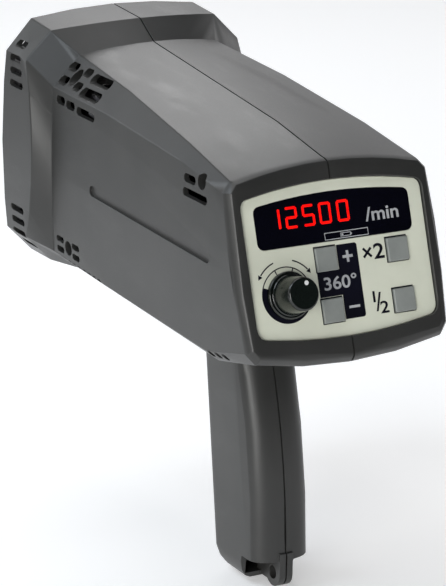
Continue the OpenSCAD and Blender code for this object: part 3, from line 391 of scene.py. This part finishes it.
# smaller moulded pieces with their edges eased: node, name, slot, body, width, segments
easedPieces = [
    ("control_panel", "panelFace", "panel_face", "case", 0.35, 2),
    ("display_window", "windowPane", "smoked_window", "case", 0.25, 2),
    ("key_plus", "plusKey", "key_plastic", "key_plus", 0.45, 3),
    ("key_minus", "minusKey", "key_plastic", "key_minus", 0.45, 3),
    ("key_double", "doubleKey", "key_plastic", "key_double", 0.45, 3),
    ("key_half", "halfKey", "key_plastic", "key_half", 0.45, 3),
    ("lens_frame", "lampFrame", "black_plastic", "case", 0.5, 3),
    ("trigger", "triggerBlade", "black_plastic", "trigger", 0.8, 3),
]
for node, name, slot, body, width, segments in easedPieces:
    piece = cleanCopy(node, name)
    modified(piece, "BEVEL", limit_method="ANGLE", angle_limit=math.radians(40), width=width * mm,
             segments=segments, use_clamp_overlap=True, miter_outer="MITER_ARC")
    finish(piece, looks[slot], body, slot)
    modified(piece, "WEIGHTED_NORMAL", keep_sharp=True, weight=caseEdges["faceWeight"])
    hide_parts(node)
print("panel, keys, frame and trigger eased")

# the panel's own frame: across, up the panel, out of it
panel = {"lean": 18.5, "at": (0, -140, 21.5), "ink": 0.06}
panelTurn = Matrix.Rotation(math.radians(90 - panel["lean"]), 4, "X")
panelFrame = Matrix.Translation(Vector(panel["at"]) * mm) @ panelTurn


def onPanel(x, v, n=0.0, turn=0.0):
    spot = Matrix.Translation((x * mm, v * mm, n * mm))
    return panelFrame @ spot @ Matrix.Rotation(math.radians(turn), 4, "Z")


def turned(name, steps, sides):  # a closed round form from rings of [radius, height], foot first
    (r0, h0) = steps[0]
    bpy.ops.object.select_all(action="DESELECT")
    bpy.ops.mesh.primitive_circle_add(vertices=sides, radius=r0 * mm, fill_type="NGON",
                                      location=(0, 0, h0 * mm))
    obj = bpy.context.object
    obj.name = name
    bpy.ops.object.transform_apply(location=True)
    bpy.ops.object.mode_set(mode="EDIT")
    bpy.ops.mesh.select_all(action="SELECT")
    for r1, h1 in steps[1:]:
        bpy.ops.mesh.extrude_region_move(TRANSFORM_OT_translate={"value": (0, 0, (h1 - h0) * mm)})
        bpy.ops.transform.resize(value=(r1 / r0, r1 / r0, 1), center_override=(0, 0, h1 * mm))
        r0, h0 = r1, h1
    bpy.ops.mesh.select_all(action="SELECT")
    bpy.ops.mesh.normals_make_consistent(inside=False)
    bpy.ops.object.mode_set(mode="OBJECT")
    return obj


# glossy knob: grooved skirt, slightly conical body, eased face
knob = {"at": (-27.9, 17.5), "sides": 96, "smooth": 50,
        "rings": [(9.9, 0.5), (10.2, 0.55), (10.38, 0.8), (10.4, 1.1), (10.4, 2.2), (10.3, 2.5), (10.05, 2.72),
                  (9.7, 2.85), (9.35, 2.86), (9.2, 2.72), (9.0, 2.72), (8.85, 2.86), (8.62, 3.05), (8.5, 3.5),
                  (8.42, 4.2), (7.42, 13.4), (7.3, 14.1), (7.05, 14.52), (6.7, 14.74), (6.3, 14.8), (6.0, 14.78),
                  (0.4, 14.72)]}
turnedKnob = turned("turnedKnob", knob["rings"], knob["sides"])
apply(turnedKnob, onPanel(*knob["at"]))
finish(turnedKnob, looks["knob_plastic"], "knob", "knob_plastic", knob["smooth"])
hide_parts("knob")
print("knob turned")

# inks
# black of the panel's print, also used for the painted shadow round the keys
inkAndShadowBlack = moulded("shadowAndPanelInk", {
    "dark": (0.0015, 0.0015, 0.006), "light": (0.003, 0.003, 0.010), "grain": 1400, "bump": 0.05, "depth": 0.00001,
    "rough": 0.28, "spread": 0.12, "drift": 90, "rubTint": 0.1, "fixed": {"Specular_IOR_Level": 0.3}})
inkPale = moulded("paleInk", {
    "dark": (0.42, 0.43, 0.45), "light": (0.52, 0.53, 0.54), "grain": 1400, "bump": 0.05, "depth": 0.00001,
    "rough": 0.4, "spread": 0.1, "drift": 120, "rubTint": 0.1})


def litLook():
    look, shader, place = newLook("litSegment", Roughness=0.3, Emission_Strength=1.15)
    patch = place.noise(420, 2).ease(0.3, 0.7)
    feed(shader, Base_Color=patch.tint((0.25, 0.0, 0.0), (0.32, 0.005, 0.0)),
         Emission_Color=patch.tint((0.80, 0.0, 0.0), (0.96, 0.004, 0.002)))
    return look


litRed = litLook()


def slab(x0, x1, v0, v1):  # one flat rectangle, to be thickened
    bpy.ops.object.select_all(action="DESELECT")
    bpy.ops.mesh.primitive_plane_add(size=1)
    obj = bpy.context.object
    bpy.ops.object.mode_set(mode="EDIT")
    bpy.ops.mesh.select_all(action="SELECT")
    bpy.ops.transform.resize(value=((x1 - x0) * mm, (v1 - v0) * mm, 1))
    bpy.ops.transform.translate(value=((x0 + x1) / 2 * mm, (v0 + v1) / 2 * mm, 0))
    bpy.ops.object.mode_set(mode="OBJECT")
    return obj


def selectVerts(obj, test):
    bpy.ops.object.mode_set(mode="OBJECT")
    for part in list(obj.data.polygons) + list(obj.data.edges):
        part.select = False
    for vert in obj.data.vertices:
        vert.select = test(vert.co / mm)
    bpy.ops.object.mode_set(mode="EDIT")


def thicken(obj, thick):
    bpy.ops.object.mode_set(mode="EDIT")
    bpy.ops.mesh.select_all(action="SELECT")
    bpy.ops.mesh.extrude_region_move(TRANSFORM_OT_translate={"value": (0, 0, thick * mm)})
    bpy.ops.mesh.select_all(action="SELECT")
    bpy.ops.mesh.normals_make_consistent(inside=False)
    bpy.ops.object.mode_set(mode="OBJECT")
    return obj


def joined(parts, name):
    bpy.ops.object.select_all(action="DESELECT")
    for part in parts:
        part.select_set(True)
    bpy.context.view_layer.objects.active = parts[0]
    if len(parts) > 1:
        bpy.ops.object.join()
    parts[0].name = name
    parts[0].data.name = name
    return parts[0]


def lettered(text, size, matrix, bold=0.0, squeeze=1.0):  # squeeze widens above 1
    bpy.ops.object.select_all(action="DESELECT")
    bpy.ops.object.text_add()
    obj = bpy.context.object
    obj.data.body = text
    obj.data.size = size * mm
    obj.data.offset = bold * mm
    obj.data.align_x = "CENTER"
    obj.data.align_y = "CENTER"
    obj.data.resolution_u = 6
    bpy.ops.object.convert(target="MESH")
    obj = bpy.context.object
    only(obj)
    bpy.ops.object.mode_set(mode="EDIT")
    bpy.ops.mesh.select_all(action="SELECT")
    bpy.ops.mesh.remove_doubles(threshold=0.00001)
    bpy.ops.object.mode_set(mode="OBJECT")
    thicken(obj, ink)
    return apply(obj, matrix @ Matrix.Diagonal((squeeze, 1, 1, 1)))


def arcBand(centre, inner, outer, start, end, thick):  # a flat arc, angles from three o'clock
    steps = max(6, int(abs(end - start) / 4))
    bpy.ops.object.select_all(action="DESELECT")
    bpy.ops.mesh.primitive_plane_add(size=1)
    obj = bpy.context.object
    bpy.ops.object.mode_set(mode="EDIT")
    bpy.ops.mesh.select_all(action="SELECT")
    bpy.ops.transform.resize(value=((outer - inner) * mm, 0.5 * mm, 1))
    bpy.ops.transform.translate(value=((outer + inner) / 2 * mm, -0.25 * mm, 0))
    selectVerts(obj, lambda p: p.y < -0.1)
    bpy.ops.mesh.delete(type="VERT")
    bpy.ops.mesh.select_all(action="SELECT")
    bpy.ops.mesh.spin(steps=steps, angle=math.radians(end - start), center=(0, 0, 0), axis=(0, 0, -1))
    bpy.ops.object.mode_set(mode="OBJECT")
    obj.data.transform(Matrix.Rotation(math.radians(start), 4, "Z"))
    thicken(obj, thick)
    return apply(obj, onPanel(*centre))


ink = panel["ink"]
marks = {"column": (-0.8, 9.4, 3.5, 36.0), "band": (-12.1, 14.2, 25.4), "corner": 1.2, "near": 0.01}


def inkColumn():  # upright black field with a band to its left
    x0, x1, v0, v1 = marks["column"]
    left, low, high = marks["band"]
    near = marks["near"]
    obj = slab(x0, x1, v0, v1)
    bpy.ops.object.mode_set(mode="EDIT")
    for level in (low, high):
        bpy.ops.mesh.select_all(action="SELECT")
        bpy.ops.mesh.bisect(plane_co=(0, level * mm, 0), plane_no=(0, 1, 0))
    selectVerts(obj, lambda p: p.x < x0 + near and low - near < p.y < high + near)
    bpy.ops.mesh.select_mode(type="VERT")
    bpy.ops.mesh.extrude_region_move(TRANSFORM_OT_translate={"value": ((left - x0) * mm, 0, 0)})
    selectVerts(obj, lambda p: p.x > x1 - near and (p.y < v0 + near or p.y > v1 - near))
    bpy.ops.mesh.bevel(offset=marks["corner"] * mm, segments=5, affect="VERTICES")
    bpy.ops.object.mode_set(mode="OBJECT")
    return apply(thicken(obj, ink), onPanel(0, 0))


# the scale behind the knob: arcs as inner radius, outer radius, start, end
dial = {"at": (-28.1, 17.7), "arcs": [(11.85, 12.35, 22, 158), (9.0, 12.35, 158, 322), (9.0, 11.9, 110.6, 113.2),
                                      (9.0, 11.9, 66.8, 69.4)],
        "arrowRadius": 15.2, "arrows": [(108, 140), (72, 40)], "line": 0.28, "head": 1.35, "ahead": 3.5}


def arrow(start, end):  # a turning arrow, its head at the end angle
    way = 1 if end > start else -1
    radius = dial["arrowRadius"]
    bar = arcBand(dial["at"], radius - dial["line"], radius + dial["line"], min(start, end), max(start, end), ink)
    bpy.ops.object.select_all(action="DESELECT")
    bpy.ops.mesh.primitive_circle_add(vertices=3, radius=dial["head"] * mm, fill_type="NGON")
    head = thicken(bpy.context.object, ink)
    tip = end + way * dial["ahead"]
    x = dial["at"][0] + radius * math.cos(math.radians(tip))
    v = dial["at"][1] + radius * math.sin(math.radians(tip))
    apply(head, onPanel(x, v, 0.0, tip + (0 if way > 0 else 180)))
    return [bar, head]


def printed(words, level=0.0):  # each word as text, size, across, up, bold, squeeze
    return [lettered(text, size, onPanel(x, v, level), bold, squeeze) for text, size, x, v, bold, squeeze in words]


blackWords = [("×", 10.4, 14.3, 30.2, 0.12, 1.0), ("2", 9.4, 20.2, 30.4, 0.16, 1.22),
              ("1", 6.8, 14.6, 11.0, 0.14, 1.2), ("/", 11.5, 16.6, 8.4, 0.1, 1.0), ("2", 7.4, 19.3, 5.9, 0.12, 1.25)]
inkedPartsAndKeyShadows = [inkColumn()] + [arcBand(dial["at"], *arc, ink) for arc in dial["arcs"]] + printed(blackWords)
for start, end in dial["arrows"]:
    inkedPartsAndKeyShadows += arrow(start, end)

# painted shadow: black slabs round the keys, widest at the top and left, stand in for the shade in the gaps of their
# openings
keyGapShadows = {"x": (-6.7, 29.4), "v": (8.1, 30.5), "half": 5.35, "top": 0.55, "left": 0.35, "right": 0.12,
            "foot": 0.15, "past": 0.1, "thick": 0.6}
half, past = keyGapShadows["half"], keyGapShadows["past"]
keyShadowSides = [(-half - keyGapShadows["left"], half + past, half, half + keyGapShadows["top"]),
            (-half - keyGapShadows["left"], -half, -half - past, half),
            (half, half + keyGapShadows["right"], -half - past, half),
            (-half, half, -half - keyGapShadows["foot"], -half)]
for kx in keyGapShadows["x"]:
    for kv in keyGapShadows["v"]:
        for side in keyShadowSides:
            inkedPartsAndKeyShadows.append(apply(thicken(slab(*side), ink * keyGapShadows["thick"]), onPanel(kx, kv)))
# the black print and the painted key shadows, joined in one object
inkedMarksAndKeyShadows = joined(inkedPartsAndKeyShadows, "inkedMarksAndKeyShadows")
finish(inkedMarksAndKeyShadows, inkAndShadowBlack, "case")


def printedSlabs(slabs, level=0.0):
    return [apply(thicken(slab(*sides), ink), onPanel(0, 0, level)) for sides in slabs]


paleWords = [("+", 10, 4.2, 30.0, 0.2, 1.0), ("360°", 7.8, -1.1, 19.5, 0.12, 1.18)]
minusSign = (1.6, 7.0, 7.95, 9.05)
palePrint = joined(printed(paleWords, ink) + printedSlabs([minusSign], ink), "palePrint")
finish(palePrint, inkPale, "case")


def outlineBox(x0, x1, v0, v1, wide):  # all four lines are laid flat first, then thickened in turn
    parts = [slab(x0, x1, v0, v0 + wide), slab(x0, x1, v1 - wide, v1),
             slab(x0, x0 + wide, v0 + wide, v1 - wide), slab(x1 - wide, x1, v0 + wide, v1 - wide)]
    for part in parts:
        apply(thicken(part, ink), onPanel(0, 0))
    return parts


# the window's unit, and a small cell drawn in an outlined box
windowMarks = {"words": [("/min", 8.4, 24.6, 46.9, 0.14, 1.16)],
               "boxes": [(-5.8, 16.3, 38.5, 41.7, 0.28), (2.2, 7.4, 39.3, 40.9, 0.22)],
               "ends": [(7.4, 7.9, 39.7, 40.5), (2.7, 3.6, 39.7, 40.5)]}
windowParts = printed(windowMarks["words"])
for box in windowMarks["boxes"]:
    windowParts += outlineBox(*box)
windowPrint = joined(windowParts + printedSlabs(windowMarks["ends"]), "windowPrint")
finish(windowPrint, inkPale, "case")
print("prints drawn")

# lit digits
digits = {"reading": "12500", "x": (-29.4, -20.9, -12.3, -4.0, 5.0), "v": 50.4, "wide": 6.1, "tall": 9.5,
          "stroke": 1.15, "gap": 0.3, "overlap": 0.7, "point": 0.25}
segmentsOf = {"1": "bc", "2": "abged", "5": "afgcd", "0": "abcdef"}


def segment(length):  # a bar with drawn-in ends
    w, g = digits["stroke"], digits["gap"]
    obj = slab(-(length - w) / 2, (length - w) / 2, -w / 2, w / 2)
    for way in (-1, 1):
        selectVerts(obj, lambda p: p.x * way > 0.1 and abs(p.x) < (length - w) / 2 + 0.01)
        bpy.ops.mesh.extrude_region_move(TRANSFORM_OT_translate={"value": (way * (w / 2 - g) * mm, 0, 0)})
        bpy.ops.transform.resize(value=(1, digits["point"], 1), center_override=(0, 0, 0))
    bpy.ops.object.mode_set(mode="OBJECT")
    return thicken(obj, ink)


def litDigits():
    w, h, v = digits["wide"] - digits["stroke"], (digits["tall"] - digits["stroke"]) / 2, digits["v"]
    more = digits["stroke"] * digits["overlap"]
    flat, upright = segment(w + more), segment(h + more)
    spots = {"a": (0, h, 0), "g": (0, 0, 0), "d": (0, -h, 0), "f": (-w / 2, h / 2, 90), "b": (w / 2, h / 2, 90),
             "e": (-w / 2, -h / 2, 90), "c": (w / 2, -h / 2, 90)}
    made = []
    for figure, x in zip(digits["reading"], digits["x"]):
        for name in segmentsOf[figure]:
            dx, dv, turn = spots[name]
            source = upright if turn else flat
            piece = bpy.data.objects.new("segment", source.data.copy())
            bpy.context.scene.collection.objects.link(piece)
            piece.data.transform(onPanel(x + dx, v + dv, 0, turn))
            made.append(piece)
    bpy.data.objects.remove(flat)
    bpy.data.objects.remove(upright)
    return joined(made, "litDigits")


finish(litDigits(), litRed, "case")
print("digits lit")

# floor and light
# the floor glows to look white; its "aside" colour and "dimGlow" are painted shade towards the left of the view
studio = {"floor": -0.1212, "ahead": (0.95, 0.95, 0.96), "behind": (0.05, 0.052, 0.055),
          "above": (0.08, 0.08, 0.09), "pale": (0.86, 0.86, 0.86), "paler": (0.89, 0.89, 0.89),
          "aside": (0.42, 0.42, 0.42), "glow": (1.0, 1.0, 1.0), "dimGlow": (0.2, 0.2, 0.2)}
bpy.ops.object.select_all(action="DESELECT")
bpy.ops.mesh.primitive_plane_add(size=14, location=(0, 3, studio["floor"]))
floor = bpy.context.object
floor.name = "studioFloor"
apply(floor)
floorLook, floorShader, floorPlace = newLook("paleFloor", Emission_Strength=0.34)
aside = floorPlace.axis("X") * -0.87 + floorPlace.axis("Y") * 0.48  # how far to the left of the view
floorShadeMask = aside.ease(0.4, 0.85)  # painted shade: the floor's colour and glow are darker there
clouded = floorPlace.noise(3, 4).tint(studio["pale"], studio["paler"])
feed(floorShader, Base_Color=floorShadeMask.tint(clouded, studio["aside"]),
     Emission_Color=floorShadeMask.tint(studio["glow"], studio["dimGlow"]), Roughness=0.7 + floorPlace.noise(40, 3) * 0.1)
floor.data.materials.append(floorLook)

world = bpy.data.worlds.new("studio")
bpy.context.scene.world = world
world.use_nodes = True
sky = Signal(world.node_tree, world.node_tree.nodes.new("ShaderNodeTexCoord").outputs["Generated"])
ahead = sky.axis("Y").ease(-0.12, 0.45)
overhead = sky.axis("Z").ease(0.42, 0.74)
shade = overhead.tint(ahead.tint(studio["behind"], studio["ahead"]), studio["above"])
world.node_tree.links.new(shade.socket, world.node_tree.nodes["Background"].inputs["Color"])


def softbox(name, at, aim, size, power, colour):
    data = bpy.data.lights.new(name, "AREA")
    data.shape = "RECTANGLE"
    data.size, data.size_y = size
    data.energy = power
    data.color = colour
    lamp = bpy.data.objects.new(name, data)
    lamp.location = at
    lamp.rotation_euler = (Vector(aim) - Vector(at)).to_track_quat("-Z", "Y").to_euler()
    bpy.context.scene.collection.objects.link(lamp)


softbox("aheadBox", (0.5, 1.0, 0.85), (0, 0.05, 0.1), (0.4, 0.4), 1.9, (1.0, 1.0, 1.0))
softbox("leftBox", (-1.3, 1.5, 1.1), (0, 0, 0.05), (0.8, 0.8), 5.5, (0.80, 0.90, 1.0))
softbox("cornerBox", (-1.25, 0.1, 1.6), (0, 0, 0.05), (0.9, 0.9), 13, (0.84, 0.92, 1.0))
softbox("panelBox", (-1.7, -1.5, 0.35), (0, -0.1, 0.05), (1.0, 1.0), 25, (1.0, 1.0, 0.98))
softbox("floorBox", (0.1, 0.5, 2.6), (0.1, -0.3, -0.12), (2.0, 2.0), 20, (1.0, 1.0, 1.0))
print("studio set")
